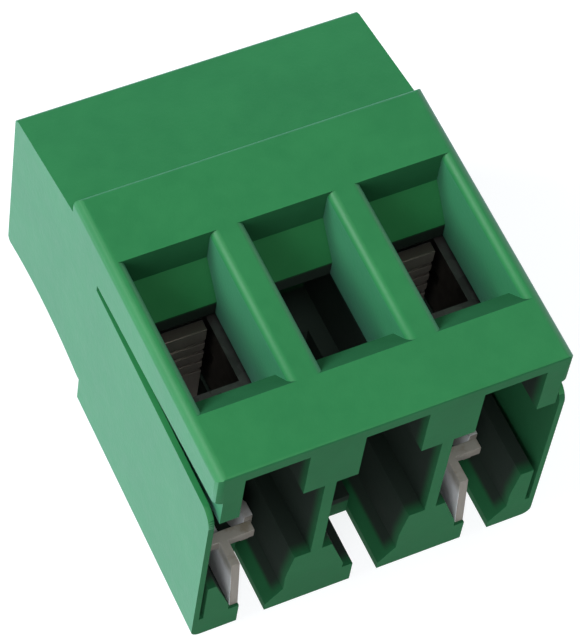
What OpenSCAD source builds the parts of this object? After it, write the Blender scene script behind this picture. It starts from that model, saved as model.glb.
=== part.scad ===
// Pluggable screw terminal for a printed circuit board, right-angle wire entry.
// It lies on its back: the wires go in from above (+Z), the header's pins enter
// from the mating face (towards -Y) and the clamping screws sit in the far end (+Y).
// Units are millimetres. Inside the modules y counts from the mating face and z from
// the back; each part is shifted once so that the origin is under the middle.

/* [Row of poles] */
// Number of poles moulded in the row
poles = 3; // [2:1:8]
// Distance from pole to pole
pitch = 5.08; // [5.0:0.04:5.4]
// Which poles carry a screw, a cage and a contact, counted from the left
loaded_poles = [0, 2];

/* [Housing] */
// Length from the mating face to the screw end
body_depth = 19.3; // [18.8:0.1:24]
// Height from the back to the wire entry face
body_height = 12.5; // [12.2:0.1:15]
// Length of the deep part that enters the header, up to the step in the back
plug_depth = 11.8; // [11.2:0.1:12.6]
// Height of that step in the back
back_step = 1.75; // [0.8:0.05:2.2]
// Depth of the shallow finger grip behind the step
grip_depth = 0.4; // [0.1:0.05:0.8]
// Distance from the mating face to the small step in the top
shoulder_y = 13.65; // [12.6:0.05:15]
// Height of that step
shoulder_drop = 0.85; // [0.3:0.05:1.5]
// Further fall of the top from the shoulder to the screw end
top_fall = 1.15; // [0:0.05:1.6]
// Radius of the outer edges
edge_r = 0.25; // [0.05:0.05:0.4]
// Radius of the long side edges of the top
side_edge_r = 0.45; // [0.1:0.05:0.6]
// Radius of the long edges of the back
back_edge_r = 0.4; // [0.1:0.05:0.6]
// Radius of the upright corners of the top band at the mating face
band_corner_r = 0.35; // [0.1:0.05:0.6]

/* [Wire entries] */
// Width of an entry at the top face
entry_w = 4.35; // [3.9:0.05:4.5]
// Radius of the long edges of an entry
entry_round = 0.35; // [0.1:0.05:0.45]
// Distance from the mating face to the near edge of an entry
entry_near_y = 2.95; // [2.5:0.05:3.2]
// Length of an entry at the top face
entry_len = 7.38; // [7:0.05:7.8]
// Leg of the 45 degree lead-in at the near edge
entry_lead = 1.15; // [0.6:0.05:1.3]
// Depth of the upright wall at the far edge
entry_wall = 1.8; // [1:0.05:2.2]
// Depth of the entry down to the rim of the wire hole
entry_depth = 3.3; // [2.8:0.05:3.5]
// Length of the wire hole
wire_hole_len = 4.6; // [4:0.05:4.8]

/* [Mating cavities] */
// Wall between two cavities
web_t = 0.5; // [0.4:0.05:0.7]
// Width of the blocks under the top wall
block_w = 2.35; // [1.8:0.05:2.8]
// Height of the blocks' lower faces above the back
block_z = 9.1; // [8.8:0.05:9.3]
// Thickness of the top wall above the cavities
roof_t = 0.6; // [0.4:0.05:0.9]
// Depth of the narrow top of a cavity
nook_depth = 3.0; // [2:0.1:3.2]
// Thickness of the bottom wall
floor_t = 1.3; // [1:0.05:1.6]
// Height of the ledge at the foot of each web
ledge_z = 3.75; // [3:0.05:4.0]
// Width of the open slot in the bottom wall
slot_w = 1.24; // [0.9:0.02:1.5]
// Length of that slot
slot_len = 2.9; // [2:0.1:4]

/* [Side walls] */
// Thickness of the thin side walls
side_t = 0.25; // [0.2:0.05:0.35]
// How far the side walls stand out at the mating face
side_flare = 0.1; // [0:0.02:0.2]
// Narrow gap between a side wall and the end block beside it
side_gap = 0.1; // [0.05:0.01:0.15]
// Radius of a side wall's front upper corner
flap_corner_r = 0.8; // [0.3:0.1:1.5]
// Length of the slit that frees a side wall from the top band
slit_len = 11.05; // [6:0.05:11.2]
// Height of the side walls' free upper edge, where the slit begins
slit_z = 9.7; // [9.4:0.05:10]
// Height of the slit at its blind end
slit_end_h = 0.35; // [0.2:0.05:0.6]
// Height of the slit at the mating face
slit_front_h = 1; // [0.4:0.05:1.2]

/* [Clamping screw] */
// Outer diameter of the screw thread
thread_d = 3; // [2.5:0.1:3.1]
// Thread pitch, which also sets the chamfer at the screw's tip
thread_pitch = 0.5; // [0.4:0.05:0.5]
// Diameter of the screw head
head_d = 4; // [3.6:0.1:4.2]
// Height of the screw head
head_h = 1.7; // [1.2:0.1:2.2]
// Depth of the screw head below the screw end
head_recess = 1.4; // [0.8:0.1:2]
// Width of the slot in the head
driver_slot_w = 0.8; // [0.5:0.05:1]
// Depth of the slot in the head
driver_slot_d = 0.9; // [0.5:0.05:1.1]

/* [Clamp cage] */
// Outer width of the cage across the row
cage_w = 4; // [3.8:0.05:4.1]
// Outer height of the cage along the wire
cage_h = 3.8; // [3.6:0.05:4.1]
// Thickness of the cage's sheet
cage_t = 0.55; // [0.45:0.05:0.6]
// Gap between the two layers of the folded wall that takes the thread
fold_gap = 0.05; // [0.02:0.01:0.1]
// Gap left for the wire with the clamp open
wire_gap = 2.6; // [2.2:0.05:2.7]
// Travel of the cage from open to closed
cage_travel = 2.5; // [1.5:0.05:2.5]
// Height of the screw and cage axis above the back
clamp_z = 6.35; // [6.2:0.05:6.4]

/* [Contact] */
// Thickness of the contact's strip
strip_t = 0.5; // [0.4:0.05:0.6]
// Width of the bar inside the cage
bar_w = 2.5; // [2:0.05:2.8]
// Distance from the mating face to the bar's clamping face
bar_y = 8.55; // [8.4:0.05:8.6]
// Number of grooves across the bar's clamping face
grooves = 4; // [0:1:6]
// Distance from groove to groove
groove_pitch = 0.7; // [0.5:0.05:0.9]
// Width of a groove
groove_w = 0.22; // [0.1:0.02:0.3]
// Depth of a groove
groove_d = 0.08; // [0.04:0.01:0.12]
// Distance across the two fork arms
fork_w = 2; // [1.9:0.02:2.2]
// Thickness of a fork arm
arm_t = 0.38; // [0.3:0.02:0.4]
// Height of the fork's upper edge above the back
fork_z = 3.3; // [2.9:0.05:3.5]
// Distance from the mating face to the short arm's front edge
short_arm_y = 2.6; // [2:0.1:3]
// Distance from the mating face to the long arm's foot
long_arm_y = 0.1; // [0.05:0.05:0.6]
// How far the long arm's front edge leans back at the top
arm_lean = 0.35; // [0:0.05:0.6]
// Height of the strap over the long arm's front end
strap_z = 4.05; // [3.9:0.05:4.1]
// Distance from the mating face to the strap
strap_y = 1.6; // [1.2:0.1:2]
// Length of the strap along the pin
strap_len = 0.5; // [0.4:0.05:0.8]
// Reach of the strap to the left of the pole's middle
strap_left = 1.6; // [1.1:0.05:1.7]
// Reach of the strap to the right of the pole's middle
strap_right = 0.55; // [0.2:0.05:0.9]
// How far the pressed ribs of the arms reach inwards
pinch = 0.16; // [0.08:0.02:0.18]

/* [Fits] */
// Gap round the moving cage
cage_gap = 0.1; // [0.05:0.01:0.15]
// Radial gap between the screw's shank and the cage's hole
thread_gap = 0.05; // [0.02:0.01:0.1]
// Radial gap between the screw's shank and the housing
shank_gap = 0.15; // [0.1:0.01:0.2]
// Gap between the screw head and its bore
head_gap = 0.15; // [0.1:0.01:0.2]
// Gap that parts keep where they meet end to end
end_gap = 0.1; // [0.05:0.01:0.15]

/* [Hidden] */
$fn = 64;
eps = 0.01;
over = 1;
row_len = poles * pitch;
entry_far_y = entry_near_y + entry_len;
rim_z = body_height - entry_depth;
throat_w = entry_w - 2 * entry_round;
wire_hole_y1 = bar_y + strip_t + end_gap / 2;
wire_hole_y0 = wire_hole_y1 - wire_hole_len;
roof_z = body_height - roof_t;
cavity_w = pitch - web_t;
nook_w = pitch - block_w;
shoulder_z = body_height - shoulder_drop;
end_top_z = shoulder_z - top_fall;
grip_y0 = plug_depth + edge_r;
grip_chord = body_depth - edge_r - grip_y0;
grip_r = (pow(grip_chord / 2, 2) + pow(grip_depth, 2)) / (2 * grip_depth);
thread_r = thread_d / 2;
shank_r = thread_r - thread_gap;
shank_bore_r = thread_r + shank_gap;
head_r = head_d / 2;
head_bore_r = head_r + head_gap;
mouth_r = head_r - end_gap;
mouth_len = head_recess - 2 * end_gap;
head_top_y = body_depth - head_recess;
head_seat_y = head_top_y - head_h - end_gap;
bar_back_y = bar_y + strip_t;
cage_inner = wire_gap + strip_t + end_gap;
cage_inner_y0 = bar_y - wire_gap;
cage_y0 = cage_inner_y0 - cage_t;
cavity_y1 = cage_y0 - 4 * end_gap;
nut_y0 = cage_inner_y0 + cage_inner;
nut_t = 2 * cage_t + fold_gap;
cage_y1 = nut_y0 + nut_t;
chamber_y1 = cage_y1 + cage_travel + 2 * end_gap;
chamber_w = cage_w + 2 * cage_gap;
chamber_z0 = clamp_z - cage_h / 2 - 1.5 * cage_gap;
chamber_z1 = clamp_z + cage_h / 2 + 1.5 * cage_gap;
bar_top_z = chamber_z1 - end_gap;
arm_foot_z = floor_t + end_gap / 5;
foot_z = fork_z - strip_t;
foot_y = cage_y0;
rib_y = short_arm_y + 1.2;
housing_green = [0.2, 0.55, 0.33];
tin = [0.72, 0.72, 0.74];
zinc = [0.66, 0.67, 0.68];
steel = [0.6, 0.6, 0.62];

// Puts a part whose y counts from the mating face into the shared frame.
module shared_frame() {
    translate([0, -body_depth / 2, 0]) children();
}

// The middle of one pole.
module at_pole(index) {
    translate([(index - (poles - 1) / 2) * pitch, 0, 0]) children();
}

// A (y, z) outline drawn out along the row, centred on x = 0.
module along_row(width) {
    rotate([90, 0, 90]) linear_extrude(width, center = true) children();
}

// An (x, z) outline drawn out along the mating direction between two values of y.
module along_depth(y0, y1) {
    translate([0, y1, 0]) rotate([90, 0, 0]) linear_extrude(y1 - y0) children();
}

// What a rounded corner of radius r removes: the corner is at the origin and the
// material lies towards +x and +y.
module corner_cut(r) {
    difference() {
        translate([-over, -over]) square(r + over);
        translate([r, r]) circle(r);
    }
}

// Side outline of the housing, seen along the row.
module body_outline() {
    difference() {
        polygon([[0, 0], [plug_depth, 0], [plug_depth, back_step], [body_depth, back_step],
                 [body_depth, end_top_z], [shoulder_y, shoulder_z], [shoulder_y, body_height],
                 [0, body_height]]);
        intersection() {
            translate([grip_y0 + grip_chord / 2, back_step + grip_depth - grip_r]) circle(grip_r);
            translate([plug_depth, back_step - eps]) square([body_depth - plug_depth, over]);
        }
        translate([plug_depth, 0]) mirror([1, 0]) corner_cut(edge_r);
        translate([body_depth, back_step]) mirror([1, 0]) corner_cut(edge_r);
        translate([shoulder_y, body_height]) rotate(180) corner_cut(edge_r);
        translate([body_depth, end_top_z]) rotate(180) corner_cut(edge_r);
        translate([0, body_height]) mirror([0, 1]) corner_cut(edge_r / 2);
    }
}

// Places something along the right-hand side of the deep part, which widens towards the
// mating face: the origin is the side's foot at that face and y runs back along it.
module on_flared_side() {
    translate([row_len / 2 + side_flare, 0, 0]) rotate(atan(side_flare / slit_len)) children();
}

// The solid housing before the pockets, with its long edges rounded.
module body_blank() {
    difference() {
        union() {
            along_row(row_len) body_outline();
            intersection() {
                along_row(row_len + 2 * side_flare) body_outline();
                linear_extrude(slit_z)
                    polygon([[-row_len / 2, slit_len], [-row_len / 2 - side_flare, 0],
                             [row_len / 2 + side_flare, 0], [row_len / 2, slit_len]]);
            }
        }
        for (side = [0, 1]) mirror([side, 0, 0]) {
            on_flared_side() along_depth(-over, plug_depth + over)
                mirror([1, 0]) corner_cut(back_edge_r);
            translate([row_len / 2, 0, slit_z]) linear_extrude(body_height)
                mirror([1, 0]) corner_cut(band_corner_r);
            translate([row_len / 2, 0, body_height]) along_depth(-over, shoulder_y + over)
                rotate(180) corner_cut(side_edge_r);
        }
    }
}

// The funnel over one wire hole, with rounded long edges, an upright far wall that
// turns into a slope, and a lead-in at the near edge.
module wire_entry() {
    intersection() {
        along_depth(entry_near_y, entry_far_y) difference() {
            translate([-entry_w / 2, rim_z]) square([entry_w, entry_depth + over]);
            for (side = [-1, 1]) {
                translate([side * entry_w / 2, body_height - entry_round]) circle(entry_round);
                translate([side * (throat_w + entry_round) / 2, rim_z + (entry_depth - entry_round) / 2])
                    square([entry_round, entry_depth - entry_round], center = true);
            }
        }
        along_row(entry_w)
            polygon([[entry_near_y, body_height + over], [entry_near_y, body_height],
                     [entry_near_y + entry_lead, body_height - entry_lead],
                     [entry_near_y + entry_lead, rim_z], [wire_hole_y1, rim_z],
                     [entry_far_y, body_height - entry_wall], [entry_far_y, body_height + over]]);
    }
    translate([-throat_w / 2, wire_hole_y0, chamber_z1 - eps])
        cube([throat_w, wire_hole_len, rim_z - chamber_z1 + 2 * eps]);
}

// The room in which one cage slides, open towards the mating cavity.
module cage_chamber() {
    translate([-chamber_w / 2, cage_y0 - 5 * end_gap, chamber_z0])
        cube([chamber_w, chamber_y1 - cage_y0 + 5 * end_gap, chamber_z1 - chamber_z0]);
}

// Stepped bore for one screw: shank, head and a narrower mouth that keeps the head in.
module screw_bore() {
    translate([0, chamber_y1 - eps, clamp_z]) rotate([-90, 0, 0]) {
        cylinder(r = shank_bore_r, h = head_seat_y - chamber_y1 + 2 * eps);
        translate([0, 0, head_seat_y - chamber_y1])
            cylinder(r = head_bore_r, h = body_depth - mouth_len - head_seat_y);
        translate([0, 0, body_depth - chamber_y1 - mouth_len - eps])
            cylinder(r = mouth_r, h = mouth_len + over);
    }
}

// Outline of one mating cavity, seen from the mating face: ledges at the foot of the
// webs and a floor that falls away on the right of the slot.
module cavity_outline() {
    half = cavity_w / 2;
    polygon([[-half, block_z], [-half, ledge_z], [-half + 0.45, ledge_z],
             [-slot_w / 2 - 0.35, floor_t], [slot_w / 2, floor_t], [slot_w / 2, floor_t / 3],
             [half - 0.95, floor_t], [half - 0.95, floor_t + 1], [half - 0.7, ledge_z],
             [half, ledge_z], [half, block_z]]);
}

// One mating cavity with its narrow top and the open slot in the bottom wall.
module mating_cavity() {
    along_depth(-over, cavity_y1) cavity_outline();
    along_depth(-over, nook_depth)
        translate([-nook_w / 2, block_z - eps]) square([nook_w, roof_z - block_z + eps]);
    translate([-slot_w / 2, -over, -over]) cube([slot_w, slot_len + over, floor_t + 2 * over]);
}

// The stepped passage through which a contact is pushed in from the mating face: the
// wide part passes its bar, the narrow part beneath holds its fork.
module contact_passage() {
    bar_room = bar_w + 2 * cage_gap;
    fork_room = fork_w + 2 * cage_gap;
    translate([-fork_room / 2, 0, floor_t])
        cube([fork_room, bar_back_y + end_gap, fork_z - floor_t]);
    translate([-bar_room / 2, cavity_y1 - eps, foot_z - end_gap])
        cube([bar_room, bar_back_y + end_gap - cavity_y1 + eps, chamber_z0 - foot_z + end_gap + eps]);
}

// What frees one thin side wall: the slit under the top band, which opens towards the
// mating face, the narrow gap beside the end block, and the round front corner; drawn for
// the right side.
module side_relief() {
    wall_x = row_len / 2 - side_t;
    translate([wall_x - side_gap + row_len / 2, 0, 0]) along_row(row_len)
        polygon([[-over, slit_z], [-over, slit_z + slit_front_h], [0, slit_z + slit_front_h],
                 [slit_len, slit_z + slit_end_h], [slit_len, slit_z]]);
    translate([0, 0, floor_t]) linear_extrude(slit_z - floor_t + eps)
        polygon([[wall_x - side_gap, -over], [wall_x + side_flare, -over],
                 [wall_x + side_flare, 0], [wall_x + eps, slit_len],
                 [wall_x + eps, cavity_y1], [wall_x - side_gap, cavity_y1]]);
    translate([wall_x - side_gap + row_len / 2, 0, slit_z + eps]) along_row(row_len)
        mirror([0, 1]) difference() {
            translate([-over, -eps]) square([over + flap_corner_r, flap_corner_r + eps]);
            translate([flap_corner_r, flap_corner_r]) circle(flap_corner_r);
        }
}

module housing() {
    color(housing_green) shared_frame() difference() {
        body_blank();
        for (index = [0 : poles - 1]) at_pole(index) {
            wire_entry();
            cage_chamber();
            screw_bore();
            mating_cavity();
            contact_passage();
        }
        side_relief();
        mirror([1, 0, 0]) side_relief();
    }
}

// Plan of one straight fork arm on the right of the pin, with its rib pressed inwards.
module arm_plan(front_y) {
    rib_r = 1;
    inner_x = fork_w / 2 - arm_t;
    difference() {
        union() {
            translate([inner_x, front_y]) square([arm_t, bar_y - front_y]);
            intersection() {
                translate([inner_x - pinch + rib_r, rib_y]) circle(rib_r);
                translate([inner_x - pinch, rib_y - rib_r]) square([pinch + arm_t / 2, 2 * rib_r]);
            }
        }
        intersection() {
            translate([fork_w / 2 - pinch + rib_r, rib_y]) circle(rib_r);
            translate([fork_w / 2 - pinch, rib_y - rib_r]) square([rib_r, 2 * rib_r]);
        }
    }
}

// Side outline of the long arm: its front edge leans back and it carries the strap.
module long_arm_outline() {
    polygon([[long_arm_y, arm_foot_z], [bar_y, arm_foot_z], [bar_y, fork_z],
             [strap_y + strap_len + 0.4, fork_z], [strap_y + strap_len, strap_z - strip_t],
             [strap_y + strap_len, strap_z], [long_arm_y + arm_lean, strap_z]]);
}

// Contact, stamped and folded from one strip: the bar inside the cage, the foot that
// leads forward from it, the two arms of the fork and the strap over the long arm.
module contact() {
    difference() {
        translate([-bar_w / 2, bar_y, foot_z]) cube([bar_w, strip_t, bar_top_z - foot_z]);
        for (index = [0 : 1 : grooves - 1])
            translate([-bar_w / 2 - eps, bar_y - eps,
                       clamp_z + (index - (grooves - 1) / 2) * groove_pitch - groove_w / 2])
                cube([bar_w + 2 * eps, groove_d + eps, groove_w]);
    }
    translate([-fork_w / 2, foot_y, foot_z]) cube([fork_w, bar_back_y - foot_y, strip_t]);
    translate([0, 0, arm_foot_z]) linear_extrude(fork_z - arm_foot_z) arm_plan(short_arm_y);
    intersection() {
        translate([0, 0, arm_foot_z - over]) linear_extrude(body_height)
            mirror([1, 0]) arm_plan(0);
        along_row(2 * fork_w) long_arm_outline();
    }
    translate([-strap_left, strap_y, strap_z - strip_t])
        cube([strap_left + strap_right, strap_len, strip_t]);
}

// Rectangle with round corners, made of true arcs.
module rounded_plate(width, length, r) {
    translate([-width / 2 + r, 0]) square([width - 2 * r, length]);
    translate([-width / 2, r]) square([width, length - 2 * r]);
    for (side = [-1, 1], y = [r, length - r]) translate([side * (width / 2 - r), y]) circle(r);
}

// Plan of the seam in a cage: it runs in behind the inner layer's loose end and out
// between the two layers, whose folded corner it rounds.
module cage_seam() {
    seam_y = nut_y0 + cage_t;
    translate([cage_w / 2 - cage_t, nut_y0 - eps]) square([fold_gap, cage_t + fold_gap + eps]);
    translate([-cage_w / 2 - eps, seam_y]) square([cage_w - cage_t + eps, fold_gap]);
    translate([-cage_w / 2, seam_y]) mirror([0, 1]) difference() {
        translate([-eps, -eps]) square(cage_t + eps);
        translate([cage_t, cage_t]) circle(cage_t);
    }
}

// Clamp cage: a strip folded into a ring, whose two overlapping ends take the thread.
module cage() {
    difference() {
        translate([0, 0, clamp_z - cage_h / 2]) linear_extrude(cage_h) difference() {
            translate([0, cage_y0]) rounded_plate(cage_w, cage_y1 - cage_y0, cage_t);
            translate([-cage_w / 2 + cage_t, cage_inner_y0])
                square([cage_w - 2 * cage_t, cage_inner]);
            cage_seam();
        }
        translate([0, nut_y0 - over, clamp_z]) rotate([-90, 0, 0])
            cylinder(r = thread_r, h = nut_t + 2 * over);
    }
}

// Captive clamping screw with a slotted cheese head.
module screw() {
    tip_y = bar_back_y + end_gap;
    tip_chamfer = 0.7 * thread_pitch;
    translate([0, tip_y, clamp_z]) rotate([-90, 0, 0]) difference() {
        rotate_extrude()
            polygon([[0, 0], [shank_r - tip_chamfer, 0], [shank_r, tip_chamfer],
                     [shank_r, head_seat_y + end_gap - tip_y], [head_r, head_seat_y + end_gap - tip_y],
                     [head_r, head_top_y - tip_y - 0.2], [head_r - 0.2, head_top_y - tip_y],
                     [0, head_top_y - tip_y]]);
        translate([-head_d, -driver_slot_w / 2, head_top_y - tip_y - driver_slot_d])
            cube([2 * head_d, driver_slot_w, driver_slot_d + over]);
    }
}

module contact_left() {
    color(tin) shared_frame() at_pole(loaded_poles[0]) contact();
}

module contact_right() {
    color(tin) shared_frame() at_pole(loaded_poles[1]) contact();
}

module cage_left() {
    color(zinc) shared_frame() at_pole(loaded_poles[0]) cage();
}

module cage_right() {
    color(zinc) shared_frame() at_pole(loaded_poles[1]) cage();
}

module screw_left() {
    color(steel) shared_frame() at_pole(loaded_poles[0]) screw();
}

module screw_right() {
    color(steel) shared_frame() at_pole(loaded_poles[1]) screw();
}

housing();
contact_left();
contact_right();
cage_left();
cage_right();
screw_left();
screw_right();
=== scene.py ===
# %% [markdown]
# # Dressing a pluggable screw terminal
# The object is a small green plug that wires are screwed into. One moulding holds two sets
# of metal: a folded contact, a clamp cage and a screw in the left place and in the right
# one, while the middle place is empty. The exact solids come in as a fixed frame. This
# script gives them the soft edges and the finishes that a moulding and stamped metal have,
# cuts a real thread on the screws, and sets up a small studio round them.

# %% Load the packed model
import math
import bmesh
import bpy
from mathutils import Euler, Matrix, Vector


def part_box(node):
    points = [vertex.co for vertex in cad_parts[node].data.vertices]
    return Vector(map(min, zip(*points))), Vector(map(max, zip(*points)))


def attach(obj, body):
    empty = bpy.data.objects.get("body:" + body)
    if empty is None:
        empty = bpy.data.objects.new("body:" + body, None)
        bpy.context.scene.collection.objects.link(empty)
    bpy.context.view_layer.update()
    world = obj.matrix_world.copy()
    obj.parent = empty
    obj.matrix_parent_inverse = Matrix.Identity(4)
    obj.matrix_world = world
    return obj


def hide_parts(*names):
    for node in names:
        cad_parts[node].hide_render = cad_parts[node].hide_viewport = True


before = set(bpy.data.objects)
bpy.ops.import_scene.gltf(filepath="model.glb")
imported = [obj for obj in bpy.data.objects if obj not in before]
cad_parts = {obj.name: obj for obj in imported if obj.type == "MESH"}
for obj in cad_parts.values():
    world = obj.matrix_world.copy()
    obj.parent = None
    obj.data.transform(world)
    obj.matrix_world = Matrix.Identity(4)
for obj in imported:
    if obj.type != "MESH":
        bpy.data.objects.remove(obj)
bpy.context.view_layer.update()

MM = 0.001

# %% [markdown]
# ## The view
# The plug lies on its back and is seen from above its mating end, as through a long lens
# from a short way off. A camera can be aimed with a Track To constraint, but three plain
# angles say the same and also hold the slight roll of a hand-held shot. The lens is 206 mm
# on a 36 mm sensor, so the plug's parallel edges stay nearly parallel.

# %% Camera
LENS = 206.2
CAMERA_PLACE = (-44.50, -66.77, 130.99)
CAMERA_ANGLES = (32.114, -5.718, -25.080)

camera_data = bpy.data.cameras.new("view_camera")
camera_data.lens = LENS
camera_data.sensor_width = 36.0
camera_data.clip_start = 0.01
camera_data.clip_end = 10.0
camera = bpy.data.objects.new("view_camera", camera_data)
camera.location = Vector(CAMERA_PLACE) * MM
camera.rotation_euler = Euler([math.radians(a) for a in CAMERA_ANGLES], "XYZ")
bpy.context.scene.collection.objects.link(camera)
bpy.context.scene.camera = camera
print("camera", round(camera.location.length / MM), "mm from the middle of the plug's back")

# %% [markdown]
# ## Light
# A small green object on a white ground is easily lit by one large window. Here it stands
# on the left and a little behind, about 38 degrees up, so the side wall and the right-hand
# wall of every funnel are bright and the top is even. Three much weaker panels fill from
# above, from the right and from low in front, so that no side is left dull and some light
# reaches the contacts. An area light gives soft shadow edges by its own size, so no blur
# has to be faked. The list below has one line for each light: its name, the direction in
# which it stands, its size in metres, its power in watts and its colour.

# %% Lights
LIGHT_DISTANCE = 0.50
LIGHTS = [
    ("window_left", (-0.77, 0.19, 0.61), 0.26, 3.20, (0.90, 0.97, 1.00)),
    ("panel_above", (-0.10, -0.32, 0.94), 0.20, 0.72, (1.00, 1.00, 1.00)),
    ("panel_front", (-0.42, -0.86, 0.28), 0.20, 0.78, (1.00, 1.00, 1.00)),
    ("panel_right", (0.90, 0.25, 0.36), 0.30, 0.62, (0.97, 0.99, 1.00)),
]
AIR_COLOUR = (0.92, 0.96, 1.00, 1)
AIR_STRENGTH = 0.20


def softbox(name, towards, size, watts, colour):
    """A square area light that stands in a direction from the plug and faces it."""
    data = bpy.data.lights.new(name, "AREA")
    data.shape = "SQUARE"
    data.size = size
    data.energy = watts
    data.color = colour
    light = bpy.data.objects.new(name, data)
    light.location = Vector(towards).normalized() * LIGHT_DISTANCE
    light.rotation_euler = light.location.to_track_quat("Z", "Y").to_euler()
    bpy.context.scene.collection.objects.link(light)


for row in LIGHTS:
    softbox(*row)
world = bpy.data.worlds.new("studio_air")
world.use_nodes = True
air = world.node_tree.nodes["Background"].inputs
air["Color"].default_value = AIR_COLOUR
air["Strength"].default_value = AIR_STRENGTH
bpy.context.scene.world = world
bpy.context.scene.view_settings.view_transform = "Standard"
print("lights:", [row[0] for row in LIGHTS])

# %% [markdown]
# ## Writing node trees as sums
# Shader maths soon becomes a wall of Math nodes. One small class wraps a socket, so that
# `0.4 + 0.2 * speckle` adds the nodes by itself. Its `node` method makes any other node:
# the settings are given first, then what goes into the sockets. The same class serves
# Geometry Nodes, because both kinds of tree share their Math nodes.

# %% Field: a socket that can be added and multiplied
class Field:
    """An output socket in a node tree, on which + - * / make Math nodes."""

    def __init__(self, tree, socket):
        self.tree = tree
        self.socket = socket

    def node(self, kind, settings=None, inputs=None, output=0):
        """Adds a node, applies its settings, fills its sockets and returns one output."""
        made = self.tree.nodes.new(kind)
        for key, value in (settings or {}).items():
            setattr(made, key, value)
        for key, value in (inputs or {}).items():
            self.fill(made.inputs[key], value)
        return Field(self.tree, made.outputs[output])

    def fill(self, socket, value):
        """Links a Field to a socket, or sets the socket's own value."""
        if isinstance(value, Field):
            self.tree.links.new(value.socket, socket)
        else:
            socket.default_value = value

    def maths(self, operation, other=0.0, swapped=False):
        """A Math node on this value and another one, which comes first if swapped."""
        first, second = (other, self) if swapped else (self, other)
        return self.node("ShaderNodeMath", {"operation": operation}, {0: first, 1: second})

    def __add__(self, other):
        return self.maths("ADD", other)

    def __radd__(self, other):
        return self.maths("ADD", other, swapped=True)

    def __sub__(self, other):
        return self.maths("SUBTRACT", other)

    def __rsub__(self, other):
        return self.maths("SUBTRACT", other, swapped=True)

    def __mul__(self, other):
        return self.maths("MULTIPLY", other)

    def __rmul__(self, other):
        return self.maths("MULTIPLY", other, swapped=True)

    def __truediv__(self, other):
        return self.maths("DIVIDE", other)

    def __rtruediv__(self, other):
        return self.maths("DIVIDE", other, swapped=True)

    def limited(self, low, high):
        """The value, kept between low and high."""
        return self.node("ShaderNodeClamp", None, {"Value": self, "Min": low, "Max": high})

    def step(self, low, high):
        """0 below low, 1 above high, and a smooth rise between."""
        settings = {"interpolation_type": "SMOOTHSTEP"}
        values = {"Value": self, "From Min": low, "From Max": high}
        return self.node("ShaderNodeMapRange", settings, values)


print("Field has:", [name for name in vars(Field) if not name.startswith("_")])

# %% [markdown]
# ## A blank material
# Every finish starts as a Principled surface and a source of object coordinates. They are
# in metres and stay with the piece when a screw turns, so no pattern slides over it. Scales
# of noise are therefore large numbers: 2000 gives grains of half a millimetre. An image
# texture would need the pieces unwrapped, and noise in space doesn't.

# %% Start of a material and the nodes that most finishes use
def start_material(name):
    """A new node material: (material, Field at its object coordinates, shader)."""
    material = bpy.data.materials.new(name)
    material.use_nodes = True
    tree = material.node_tree
    tree.nodes.clear()
    shader = tree.nodes.new("ShaderNodeBsdfPrincipled")
    output = tree.nodes.new("ShaderNodeOutputMaterial")
    tree.links.new(shader.outputs["BSDF"], output.inputs["Surface"])
    coordinates = tree.nodes.new("ShaderNodeTexCoord")
    return material, Field(tree, coordinates.outputs["Object"]), shader


def noise(place, scale, detail=2.0, roughness=0.5):
    """Soft noise from 0 to 1 with `scale` grains to the metre."""
    values = {"Vector": place, "Scale": scale, "Detail": detail, "Roughness": roughness}
    return place.node("ShaderNodeTexNoise", None, values)


def blend_colours(place, factor, first, second):
    """A colour between two colours. Sockets 0, 6 and 7 are the factor and the colours."""
    return place.node("ShaderNodeMix", {"data_type": "RGBA"}, {0: factor, 6: first, 7: second}, 2)


def bump(place, height, distance, strength):
    """A Bump node's normal from a height from 0 to 1, `distance` metres deep."""
    values = {"Height": height, "Distance": distance, "Strength": strength}
    return place.node("ShaderNodeBump", None, values)


print("helpers:", [f.__name__ for f in (start_material, noise, blend_colours, bump)])

# %% [markdown]
# ## Where the pockets are
# Deep in its pockets the moulding is painted darker than outside: painted shade, for the
# little light that comes back out. The pockets are simple boxes in space, so
# a mask can be worked out from the coordinates alone. A box is a product of soft steps.
# Painting a mask by hand would have to be done again whenever a size changed.
#
# The planes of these boxes get names. X is counted from the plug's middle, Y from its
# mating face or its middle, and Z up from the back that it lies on.

# %% Masks from coordinates
FACE_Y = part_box("housing")[0][1]
HALF_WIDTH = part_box("housing")[1][0]
WALL_X = HALF_WIDTH - 0.32 * MM
CAVITY_Z = (1.00 * MM, 9.05 * MM)
CAVITY_END = 1.40 * MM
NOOK_Z = (9.10 * MM, 11.86 * MM)
NOOK_END = FACE_Y + 2.83 * MM


def split(place):
    """The X, Y and Z of a vector, each as a Field."""
    return [place.node("ShaderNodeSeparateXYZ", None, {"Vector": place}, i) for i in range(3)]


def between(value, low, high, soft):
    """1 between low and high, falling to 0 over `soft` outside them."""
    return value.step(low - soft, low) * (1 - value.step(high, high + soft))


def pocket_shade_mask(place):
    """1 deep in the mating cavities and the rooms behind them, where shade is painted; 0 on the
    outside.
    """
    x, y, z = split(place)
    inside = 1 - x.maths("ABSOLUTE").step(WALL_X - 0.04 * MM, WALL_X)
    fade_in = y.step(FACE_Y + 0.03 * MM, FACE_Y + 0.65 * MM)
    cavity = between(z, *CAVITY_Z, 0.20 * MM) * (1 - y.step(CAVITY_END, CAVITY_END + 0.30 * MM))
    nook = between(z, *NOOK_Z, 0.06 * MM) * (1 - y.step(NOOK_END, NOOK_END + 0.08 * MM))
    return inside * fade_in * cavity.maths("MAXIMUM", nook)


print("pockets reach", round((CAVITY_END - FACE_Y) / MM, 1), "mm in from the mating face")
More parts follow.
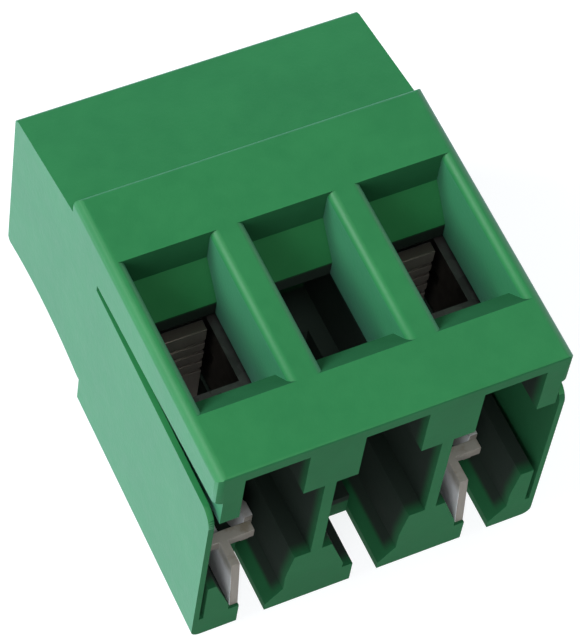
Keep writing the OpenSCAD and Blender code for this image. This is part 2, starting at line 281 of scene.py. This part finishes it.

# %% [markdown]
# ## Green moulded plastic, satin and matt
# The housing is filled nylon from a steel tool. Outside it is satin: the tool was brushed,
# and light that grazes the surface from the left wakes a pale bluish bloom on it, which is
# what the Sheen sockets are for. The mating face and the pockets were spark-eroded and
# never brushed, so they are matt and have no bloom. Their green is also painted darker
# than the satin one: painted shade on these faces. These are two finishes on one piece,
# and each is its own material, because sheen and specular level are set on the socket for
# a whole material and can't follow a mask.
#
# A flat colour would look like paint, so two noises tint the green and a fine one gives it
# grain. Deep in the pockets the matt finish is also painted a greyish, nearly black green:
# painted shade, for the little light that gets in.

# %% Housing finishes
SATIN_GREENS = (0.0090, 0.147, 0.036, 1), (0.0120, 0.164, 0.041, 1)
# The matt greens are darker than the satin ones: painted shade.
MATT_SHADED_GREENS = (0.0120, 0.098, 0.036, 1), (0.0150, 0.112, 0.042, 1)
# Nearly black green deep in the pockets: painted shade.
POCKET_PAINTED_SHADE = (0.016, 0.022, 0.019, 1)
BLOOM = (0.46, 0.77, 0.98, 1)


def moulded_green(place, greens):
    """Green with faint flow clouds between two close tones, and its fine mottle."""
    clouds = noise(place, 260.0, 3.0, 0.55)
    mottle = noise(place, 1400.0, 3.0, 0.6)
    tint = (clouds * 0.6 + mottle * 0.4).step(0.32, 0.68)
    return blend_colours(place, tint, *greens), mottle


def satin_nylon():
    """The outside of the moulding."""
    material, place, shader = start_material("green_satin")
    green, mottle = moulded_green(place, SATIN_GREENS)
    grain = noise(place, 5200.0, 2.0, 0.6)
    place.fill(shader.inputs["Base Color"], green)
    place.fill(shader.inputs["Roughness"], 0.46 + 0.16 * mottle)
    place.fill(shader.inputs["Normal"], bump(place, grain, 0.012 * MM, 0.6))
    shader.inputs["Specular IOR Level"].default_value = 0.38
    shader.inputs["Sheen Weight"].default_value = 0.23
    shader.inputs["Sheen Roughness"].default_value = 0.50
    shader.inputs["Sheen Tint"].default_value = BLOOM
    return material


def matt_shaded_nylon():
    """The mating face and the pockets: matt, in a green painted darker as painted shade, and
    darkest deep in the pockets.
    """
    material, place, shader = start_material("green_matt_shaded")
    green, mottle = moulded_green(place, MATT_SHADED_GREENS)
    grain = noise(place, 3600.0, 3.0, 0.7)
    # Painted shade: deep in the pockets the green turns nearly black.
    shaded = blend_colours(place, pocket_shade_mask(place) * 0.95, green, POCKET_PAINTED_SHADE)
    place.fill(shader.inputs["Base Color"], shaded)
    place.fill(shader.inputs["Roughness"], 0.74 + 0.14 * mottle)
    place.fill(shader.inputs["Normal"], bump(place, grain, 0.016 * MM, 0.7))
    shader.inputs["Specular IOR Level"].default_value = 0.14
    return material


satin_finish = satin_nylon()
matt_shaded_finish = matt_shaded_nylon()
print("made", satin_finish.name, "and", matt_shaded_finish.name)

# %% [markdown]
# ## Tinned contact strip
# The contact is punched from copper alloy that is already plated with tin, so it is a soft
# grey and never mirror bright, and its cut edges show the bare, browner metal, which is a
# second material. Rolling leaves fine lines along the strip, and handling leaves a little
# brown tarnish in patches. The strap above the fork is browner still. The part inside the
# clamp is painted brown and then dark: painted shade, for the little light that reaches it
# there. The lines are a noise that a Mapping node stretches. A Wave texture would
# be too regular for them.

# %% Contact finishes
TIN = (0.92, 0.92, 0.95, 1)
TARNISH = (0.27, 0.24, 0.18, 1)
# Painted shade for the strip inside the clamp.
CLAMP_PAINTED_SHADE = (0.10, 0.085, 0.07, 1)
TIN_SHEEN = (0.92, 0.96, 1.0, 1)
BRONZES = (0.16, 0.145, 0.125, 1), (0.24, 0.220, 0.192, 1)
INNER_START = FACE_Y + 2.45 * MM
INNER_END = FACE_Y + 4.25 * MM
STRAP_Z = (3.10 * MM, 3.80 * MM)


def stretched(place, scale):
    """Coordinates scaled differently along X, Y and Z."""
    return place.node("ShaderNodeMapping", None, {"Vector": place, "Scale": scale})


def tinned_strip():
    """Dull tin plate in front, turning brown and then dark inside the clamp, where the dark is
    painted shade.
    """
    material, place, shader = start_material("tinned_strip")
    lines = noise(stretched(place, (1.0, 0.06, 0.06)), 9000.0, 3.0, 0.6)
    patches = noise(place, 900.0, 4.0, 0.6).step(0.45, 0.75)
    _, y, z = split(place)
    inside = y.step(INNER_START, INNER_END)
    upper = z.step(*STRAP_Z) * 0.8
    brown = (patches * 0.35 + upper + inside).limited(0.0, 1.0)
    tin = blend_colours(place, brown, TIN, TARNISH)
    # Painted shade: inside the clamp the strip turns dark.
    tin = blend_colours(place, inside, tin, CLAMP_PAINTED_SHADE)
    place.fill(shader.inputs["Base Color"], tin)
    place.fill(shader.inputs["Roughness"], 0.50 + 0.12 * lines - 0.15 * inside)
    place.fill(shader.inputs["Metallic"], 0.10 + 0.80 * inside)
    place.fill(shader.inputs["Normal"], bump(place, lines, 0.006 * MM, 0.5))
    shader.inputs["Sheen Weight"].default_value = 0.30
    shader.inputs["Sheen Tint"].default_value = TIN_SHEEN
    return material


def bare_bronze():
    """The strip's own metal, which shows on the punched edges."""
    material, place, shader = start_material("bare_bronze")
    drag = noise(stretched(place, (1.0, 1.0, 0.1)), 6000.0, 2.0, 0.6)
    place.fill(shader.inputs["Base Color"], blend_colours(place, drag, *BRONZES))
    place.fill(shader.inputs["Roughness"], 0.50 + 0.15 * drag)
    place.fill(shader.inputs["Normal"], bump(place, drag, 0.008 * MM, 0.5))
    shader.inputs["Metallic"].default_value = 0.2
    return material


contact_finish = tinned_strip()
edge_finish = bare_bronze()
print("made", contact_finish.name, "and", edge_finish.name)

# %% [markdown]
# ## Zinc-plated steel
# Cage and screw are steel with a thin layer of zinc: a cool grey with a faint blotchy
# spangle. The cage is tumbled after folding and is rougher, and its greys are kept very
# dark: painted shade, since it sits deep in the housing. The screw is turned, so very
# fine rings run round its head. A Wave texture in ring mode has only one centre, so the
# rings are worked out from the distance to the screw's own axis. Both screws stand equally
# far from the middle, so |x| serves the left and the right one.

# %% Cage and screw finishes
# The cage greys are kept very dark: painted shade deep in the housing.
CAGE_SHADED_GREYS = (0.085, 0.080, 0.078, 1), (0.135, 0.130, 0.125, 1)
SCREW_GREYS = (0.42, 0.43, 0.46, 1), (0.62, 0.63, 0.66, 1)
RING_SPACING = 0.10 * MM


def turned_rings(place, example):
    """Rings from 0 to 1 round the axis of `example` and of its mirror image."""
    low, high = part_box(example)
    axis_x = abs(low[0] + high[0]) / 2
    axis_z = (low[2] + high[2]) / 2
    x, _, z = split(place)
    across = x.maths("ABSOLUTE") - axis_x
    up = z - axis_z
    distance = (across * across + up * up).maths("SQRT")
    wave = (distance * (2 * math.pi / RING_SPACING)).maths("SINE")
    return 0.5 + 0.5 * wave


def zinc_plate(name, greys, base_roughness, turned=None):
    """Blotchy grey plating on steel, with turned rings if a turned piece is named."""
    material, place, shader = start_material(name)
    spangle = place.node("ShaderNodeTexVoronoi", None, {"Vector": place, "Scale": 2600.0}, "Color")
    cells = place.node("ShaderNodeSeparateColor", None, {"Color": spangle})
    blotch = noise(place, 700.0, 3.0, 0.6)
    tone = (cells * 0.35 + blotch * 0.65).step(0.2, 0.8)
    relief = noise(place, 6000.0)
    if turned:
        relief = 0.4 * relief + 0.6 * turned_rings(place, turned)
    place.fill(shader.inputs["Base Color"], blend_colours(place, tone, *greys))
    place.fill(shader.inputs["Roughness"], base_roughness + 0.14 * blotch)
    place.fill(shader.inputs["Normal"], bump(place, relief, 0.006 * MM, 0.5))
    shader.inputs["Metallic"].default_value = 1.0
    return material


cage_finish = zinc_plate("zinc_cage", CAGE_SHADED_GREYS, 0.34)
screw_finish = zinc_plate("zinc_screw", SCREW_GREYS, 0.24, turned="screw_left")
print("made", cage_finish.name, "and", screw_finish.name)

# %% [markdown]
# ## Soft edges
# No moulded or punched edge is a perfect corner: each has a radius of a few hundredths of a
# millimetre, and the thin bright line on it is what makes a small part look real. The exact
# solid has sharp edges, so a copy of it is welded, its flat areas are joined into single
# faces, and a Bevel modifier rounds every edge sharper than 28 degrees. A Bevel node in the
# material would be quicker, but it only bends the light and the outline would stay sharp.

# %% Softened copies of the exact solids
PLASTIC_EDGE = 0.06 * MM
CAGE_EDGE = 0.06 * MM
STRIP_EDGE = 0.05 * MM
SCREW_EDGE = 0.05 * MM
SHARP_FROM = math.radians(28)
FLAT_UNDER = math.radians(0.6)
WELD_REACH = 1e-7


def as_plain_mesh(rough, name):
    """Bakes an object's modifiers into a new mesh and removes the object."""
    graph = bpy.context.evaluated_depsgraph_get()
    mesh = bpy.data.meshes.new_from_object(rough.evaluated_get(graph), depsgraph=graph)
    mesh.name = name
    bpy.data.objects.remove(rough)
    return mesh


def softened(node, width):
    """A mesh like that of a CAD node, with bevelled edges."""
    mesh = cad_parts[node].data.copy()
    work = bmesh.new()
    work.from_mesh(mesh)
    bmesh.ops.remove_doubles(work, verts=work.verts, dist=WELD_REACH)
    bmesh.ops.dissolve_limit(work, angle_limit=FLAT_UNDER, verts=work.verts, edges=work.edges)
    work.to_mesh(mesh)
    work.free()
    rough = bpy.data.objects.new(node + "_rough", mesh)
    bpy.context.scene.collection.objects.link(rough)
    bevel = rough.modifiers.new("soft_edges", "BEVEL")
    bevel.width = width
    bevel.segments = 2
    bevel.limit_method = "ANGLE"
    bevel.angle_limit = SHARP_FROM
    return as_plain_mesh(rough, node + "_soft")


print("edges are rounded by", round(STRIP_EDGE / MM, 2), "to", round(PLASTIC_EDGE / MM, 2), "mm")

# %% [markdown]
# ## Handing a piece over
# A finished mesh becomes an object, takes its finish, stands for its CAD node and rides on
# that node's body. Weighted normals keep the flat faces flat, so that only the narrow
# bevels shade round. A piece with two finishes gets a second material, and a test decides
# face by face which one a face takes.

# %% From mesh to piece
def hand_over(mesh, node, material, slot, body):
    """Makes the piece that stands for a CAD node."""
    mesh.materials.clear()
    mesh.materials.append(material)
    mesh.shade_smooth()
    piece = bpy.data.objects.new(node + "_piece", mesh)
    bpy.context.scene.collection.objects.link(piece)
    even = piece.modifiers.new("even_shading", "WEIGHTED_NORMAL")
    even.keep_sharp = True
    even.weight = 60
    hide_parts(node)
    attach(piece, body)
    print(piece.name, "has", len(mesh.polygons), "faces")


def second_finish(mesh, material, takes_it):
    """Gives a second material to the faces for which the test `takes_it` is true."""
    mesh.materials.append(material)
    for face in mesh.polygons:
        face.material_index = 1 if takes_it(face) else 0
    count = sum(face.material_index for face in mesh.polygons)
    print(count, "of", len(mesh.polygons), "faces take", material.name)


print("helpers:", hand_over.__name__, "and", second_finish.__name__)

# %% [markdown]
# ## Contacts and cages
# Each contact is stamped and folded from one strip, and so is each cage, so each stays one
# piece, softened as it is. The contact's edges that face the header are the punched ones.
# They could be masked by their place, but the fork's front slants, and the direction in
# which a face looks is simpler to test.

# %% Contacts and cages
def is_punched(face):
    """True for an edge of the strip that looks out of the mating end."""
    return face.normal.y < -0.85


for side in ("left", "right"):
    contact, cage = "contact_" + side, "cage_" + side
    strip = softened(contact, STRIP_EDGE)
    hand_over(strip, contact, contact_finish, "tinned_strip", "housing")
    second_finish(strip, edge_finish, is_punched)
    hand_over(softened(cage, CAGE_EDGE), cage, cage_finish, "zinc_cage", cage)

# %% [markdown]
# ## Two finishes on the housing
# The housing keeps its satin finish where it is seen from outside. A face gets the matt one,
# with its green painted darker as painted shade, when it belongs to the mating face, when
# its middle lies in the room of the pockets, when it is the inner side of a thin side wall,
# or when it is the upright far wall or the lead-in of a funnel. Behind the step in the back,
# the low faces are outside again and stay satin. Cutting the housing into two pieces would
# do the same, but it is one moulding, and a seam could show.

# %% Housing
ROOMS_END = 6.60 * MM
BEHIND_STEP_Y = 1.90 * MM
BEHIND_STEP_TOP = 2.60 * MM
FAR_WALL_Y = (0.0, 1.20 * MM)
FAR_WALL_FOOT = 10.60 * MM
LEAD_IN_Y = (FACE_Y + 2.85 * MM, FACE_Y + 4.25 * MM)
LEAD_IN_FOOT = 9.00 * MM


def is_matt_shaded(face):
    """True for a face of the mating end, of a pocket or of a funnel's dull walls, which gets the
    matt finish and its painted shade.
    """
    x, y, z = face.center
    looks_front = face.normal.y < -0.6
    front = looks_front and y < FACE_Y + 0.15 * MM and abs(x) < HALF_WIDTH - 0.10 * MM
    within = abs(x) < WALL_X and y > FACE_Y + 0.02 * MM
    cavity = within and y < ROOMS_END and CAVITY_Z[0] < z < CAVITY_Z[1] + 0.13 * MM
    nook = within and y < NOOK_END + 0.10 * MM and z < NOOK_Z[1] + 0.06 * MM
    behind_step = y > BEHIND_STEP_Y and z < BEHIND_STEP_TOP
    wall = WALL_X < abs(x) < WALL_X + 0.10 * MM and x * face.normal.x < 0
    far_wall = face.normal.y < -0.9 and FAR_WALL_Y[0] < y < FAR_WALL_Y[1] and z > FAR_WALL_FOOT
    lead_in = face.normal.y > 0.5 and LEAD_IN_Y[0] < y < LEAD_IN_Y[1] and z > LEAD_IN_FOOT
    return front or wall or far_wall or lead_in or ((cavity or nook) and not behind_step)


housing_mesh = softened("housing", PLASTIC_EDGE)
hand_over(housing_mesh, "housing", satin_finish, "housing_green", "housing")
# The matt faces are also painted a darker green: painted shade.
second_finish(housing_mesh, matt_shaded_finish, is_matt_shaded)

# %% [markdown]
# ## The screw thread
# A thread follows a rule, so it is made with Geometry Nodes. The idea is a sheet of
# vertices, some columns round the screw and some rows along it, rolled into a tube. Every
# row is also slanted by one pitch per turn, so it runs along the thread as a helix, and its
# distance from the axis only depends on its place between root and crest. The last column
# meets the first one a pitch higher, where the two are merged. A helix curve swept with a
# triangle would also do, but it leaves a loose ridge stuck into a cylinder.
#
# The first and last rows shrink to the axis and close the ends. The ridge fades in over the
# chamfer at the tip and runs out under the head.

# %% A tree with named inputs
COLUMNS = 48
ROWS_PER_TURN = 8
RIDGE_WIDTH = 0.75
ROOT_FLAT = 0.13
MERGE_REACH = 1e-6
HEAD_HEIGHT = 1.71 * MM
HEAD_REACH = 0.06 * MM
SCREW_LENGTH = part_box("screw_left")[1][1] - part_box("screw_left")[0][1]
THREAD_INPUTS = {
    "Outer radius": ("NodeSocketFloat", 1.44 * MM),
    "Thread depth": ("NodeSocketFloat", 0.30 * MM),
    "Pitch": ("NodeSocketFloat", 0.50 * MM),
    "Length": ("NodeSocketFloat", SCREW_LENGTH - HEAD_HEIGHT + HEAD_REACH),
    "Tip chamfer": ("NodeSocketFloat", 0.35 * MM),
    "Tip place": ("NodeSocketVector", (0.0, 0.0, 0.0)),
    "Finish": ("NodeSocketMaterial", None),
}


def thread_tree():
    """A Geometry Nodes tree that makes a threaded shank along +Y."""
    tree = bpy.data.node_groups.new("threaded_shank", "GeometryNodeTree")
    for name, (kind, value) in THREAD_INPUTS.items():
        socket = tree.interface.new_socket(name=name, in_out="INPUT", socket_type=kind)
        if value is not None:
            socket.default_value = value
    tree.interface.new_socket(name="Shank", in_out="OUTPUT", socket_type="NodeSocketGeometry")
    group_in = tree.nodes.new("NodeGroupInput")
    given = {name: Field(tree, group_in.outputs[name]) for name in THREAD_INPUTS}
    pitch, length = given["Pitch"], given["Length"]

    # The flat sheet: COLUMNS + 1 vertices round, and enough rows for the length
    turns = length / pitch + 1.0
    rows = (turns * ROWS_PER_TURN).maths("CEIL") + 3.0
    sizes = {"Vertices X": COLUMNS + 1, "Vertices Y": rows}
    sheet = rows.node("GeometryNodeMeshGrid", None, sizes, "Mesh")

    # Where each vertex stands: its row, its turn round the axis and its height
    index = rows.node("GeometryNodeInputIndex")
    row = index.maths("MODULO", rows)
    turn = ((index + 0.5) / rows).maths("FLOOR") / COLUMNS
    phase = (row - 1.0) / ROWS_PER_TURN
    height = ((phase + turn - 1.0) * pitch).limited(0.0, length)

    # The ridge, which fades at both ends of the shank, and the distance from the axis
    wave = (phase + 1.0).maths("FRACT") * 2.0 - 1.0
    ridge = ((1.0 - wave.maths("ABSOLUTE")) / RIDGE_WIDTH - ROOT_FLAT).limited(0.0, 1.0)
    fade = (height / given["Tip chamfer"]).limited(0.0, 1.0)
    fade = fade * ((length - height) / pitch).limited(0.0, 1.0)
    radius = given["Outer radius"] - given["Thread depth"] * (1.0 - ridge * fade)
    closed = row.maths("LESS_THAN", 0.5) + row.maths("GREATER_THAN", rows - 1.5)
    radius = radius * (1.0 - closed)

    # Roll the sheet up, weld it and paint it
    angle = turn * (2.0 * math.pi)
    parts = {"X": radius * angle.maths("SINE"), "Y": height, "Z": radius * angle.maths("COSINE")}
    point = rows.node("ShaderNodeCombineXYZ", None, parts)
    ends = {0: point, 1: given["Tip place"]}
    moved = rows.node("ShaderNodeVectorMath", {"operation": "ADD"}, ends)
    bent = rows.node("GeometryNodeSetPosition", None, {"Geometry": sheet, "Position": moved})
    welding = {"Geometry": bent, "Distance": MERGE_REACH}
    welded = rows.node("GeometryNodeMergeByDistance", None, welding)
    real = rows.node("GeometryNodeRealizeInstances", None, {"Geometry": welded})
    painting = {"Geometry": real, "Material": given["Finish"]}
    painted = rows.node("GeometryNodeSetMaterial", None, painting)
    group_out = tree.nodes.new("NodeGroupOutput")
    tree.links.new(painted.socket, group_out.inputs["Shank"])
    return tree


shank_tree = thread_tree()
print(shank_tree.name, "has", len(shank_tree.nodes), "nodes")

# %% [markdown]
# ## Running the tree
# A tree only works inside a modifier, so an empty mesh gets one for a moment. The sizes are
# the same for both screws and stay at their defaults. Only the place of the tip and the
# finish are set, each by its socket's identifier. The evaluated result becomes a plain
# mesh, because an exported piece can't carry a live tree.

# %% One threaded shank
def threaded_shank(name, tip):
    """The threaded shank of one screw as a plain mesh, with its tip at a point."""
    rough = bpy.data.objects.new("shank_rough", bpy.data.meshes.new("shank_rough"))
    bpy.context.scene.collection.objects.link(rough)
    maker = rough.modifiers.new("make_thread", "NODES")
    maker.node_group = shank_tree
    names = {item.name: item.identifier for item in shank_tree.interface.items_tree}
    maker[names["Tip place"]] = tip
    maker[names["Finish"]] = screw_finish
    return as_plain_mesh(rough, name + "_shank")


print("shanks are", round(THREAD_INPUTS["Length"][1] / MM, 2), "mm long")

# %% [markdown]
# ## Head and shank together
# The head is already right in the exact solid, so it is cut from the softened copy by a
# plane just under it, and the cut is closed. The new shank reaches a little way into the
# head, and both go into one mesh. A Boolean modifier could fuse them, but on so fine a
# thread it is slow and often leaves slivers.

# %% Screws
def screw_mesh(name):
    """Softened head and threaded shank of one screw."""
    low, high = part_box(name)
    tip = ((low[0] + high[0]) / 2, low[1], (low[2] + high[2]) / 2)
    under_head = (0, high[1] - HEAD_HEIGHT, 0)
    work = bmesh.new()
    work.from_mesh(softened(name, SCREW_EDGE))
    everything = work.verts[:] + work.edges[:] + work.faces[:]
    cut = bmesh.ops.bisect_plane(
        work, geom=everything, plane_co=under_head, plane_no=(0, 1, 0), clear_inner=True)
    rim = [item for item in cut["geom_cut"] if isinstance(item, bmesh.types.BMEdge)]
    bmesh.ops.edgeloop_fill(work, edges=rim)
    work.from_mesh(threaded_shank(name, tip))
    bmesh.ops.recalc_face_normals(work, faces=work.faces)
    mesh = bpy.data.meshes.new(name + "_whole")
    open_edges = sum(not edge.is_manifold for edge in work.edges)
    volume = round(work.calc_volume() / MM**3, 1)
    print(mesh.name, "has", open_edges, "open edges and", volume, "cubic mm")
    work.to_mesh(mesh)
    work.free()
    return mesh


for side in ("left", "right"):
    screw = "screw_" + side
    hand_over(screw_mesh(screw), screw, screw_finish, "screw_steel", screw)

# %% [markdown]
# ## The floor
# The plug stands on a light table: a sheet of white acrylic that glows a little, so that
# the shadow beside the plug stays faint and the open slot under the middle place shows
# white. A plain white floor would need far more light, which would bleach the green. The
# sheet isn't part of the plug.

# %% Floor
FLOOR_HALF = 1.2
FLOOR_Z = -0.02 * MM
ACRYLIC_WHITES = (0.30, 0.30, 0.31, 1), (0.32, 0.32, 0.33, 1)
GLOW_COLOUR = (0.98, 0.99, 1.0, 1)
GLOW_STRENGTH = 0.82


def floor_sheet():
    """A large pale sheet just under the plug, which glows softly."""
    material, place, shader = start_material("white_acrylic")
    white = blend_colours(place, noise(place, 30.0), *ACRYLIC_WHITES)
    place.fill(shader.inputs["Base Color"], white)
    shader.inputs["Roughness"].default_value = 0.9
    shader.inputs["Emission Color"].default_value = GLOW_COLOUR
    shader.inputs["Emission Strength"].default_value = GLOW_STRENGTH
    mesh = bpy.data.meshes.new("floor_sheet")
    signs = [(-1, -1), (1, -1), (1, 1), (-1, 1)]
    corners = [(x * FLOOR_HALF, y * FLOOR_HALF, FLOOR_Z) for x, y in signs]
    mesh.from_pydata(corners, [], [(0, 1, 2, 3)])
    mesh.materials.append(material)
    sheet = bpy.data.objects.new("floor_sheet", mesh)
    bpy.context.scene.collection.objects.link(sheet)


floor_sheet()
print("floor laid,", 2 * FLOOR_HALF, "m wide")
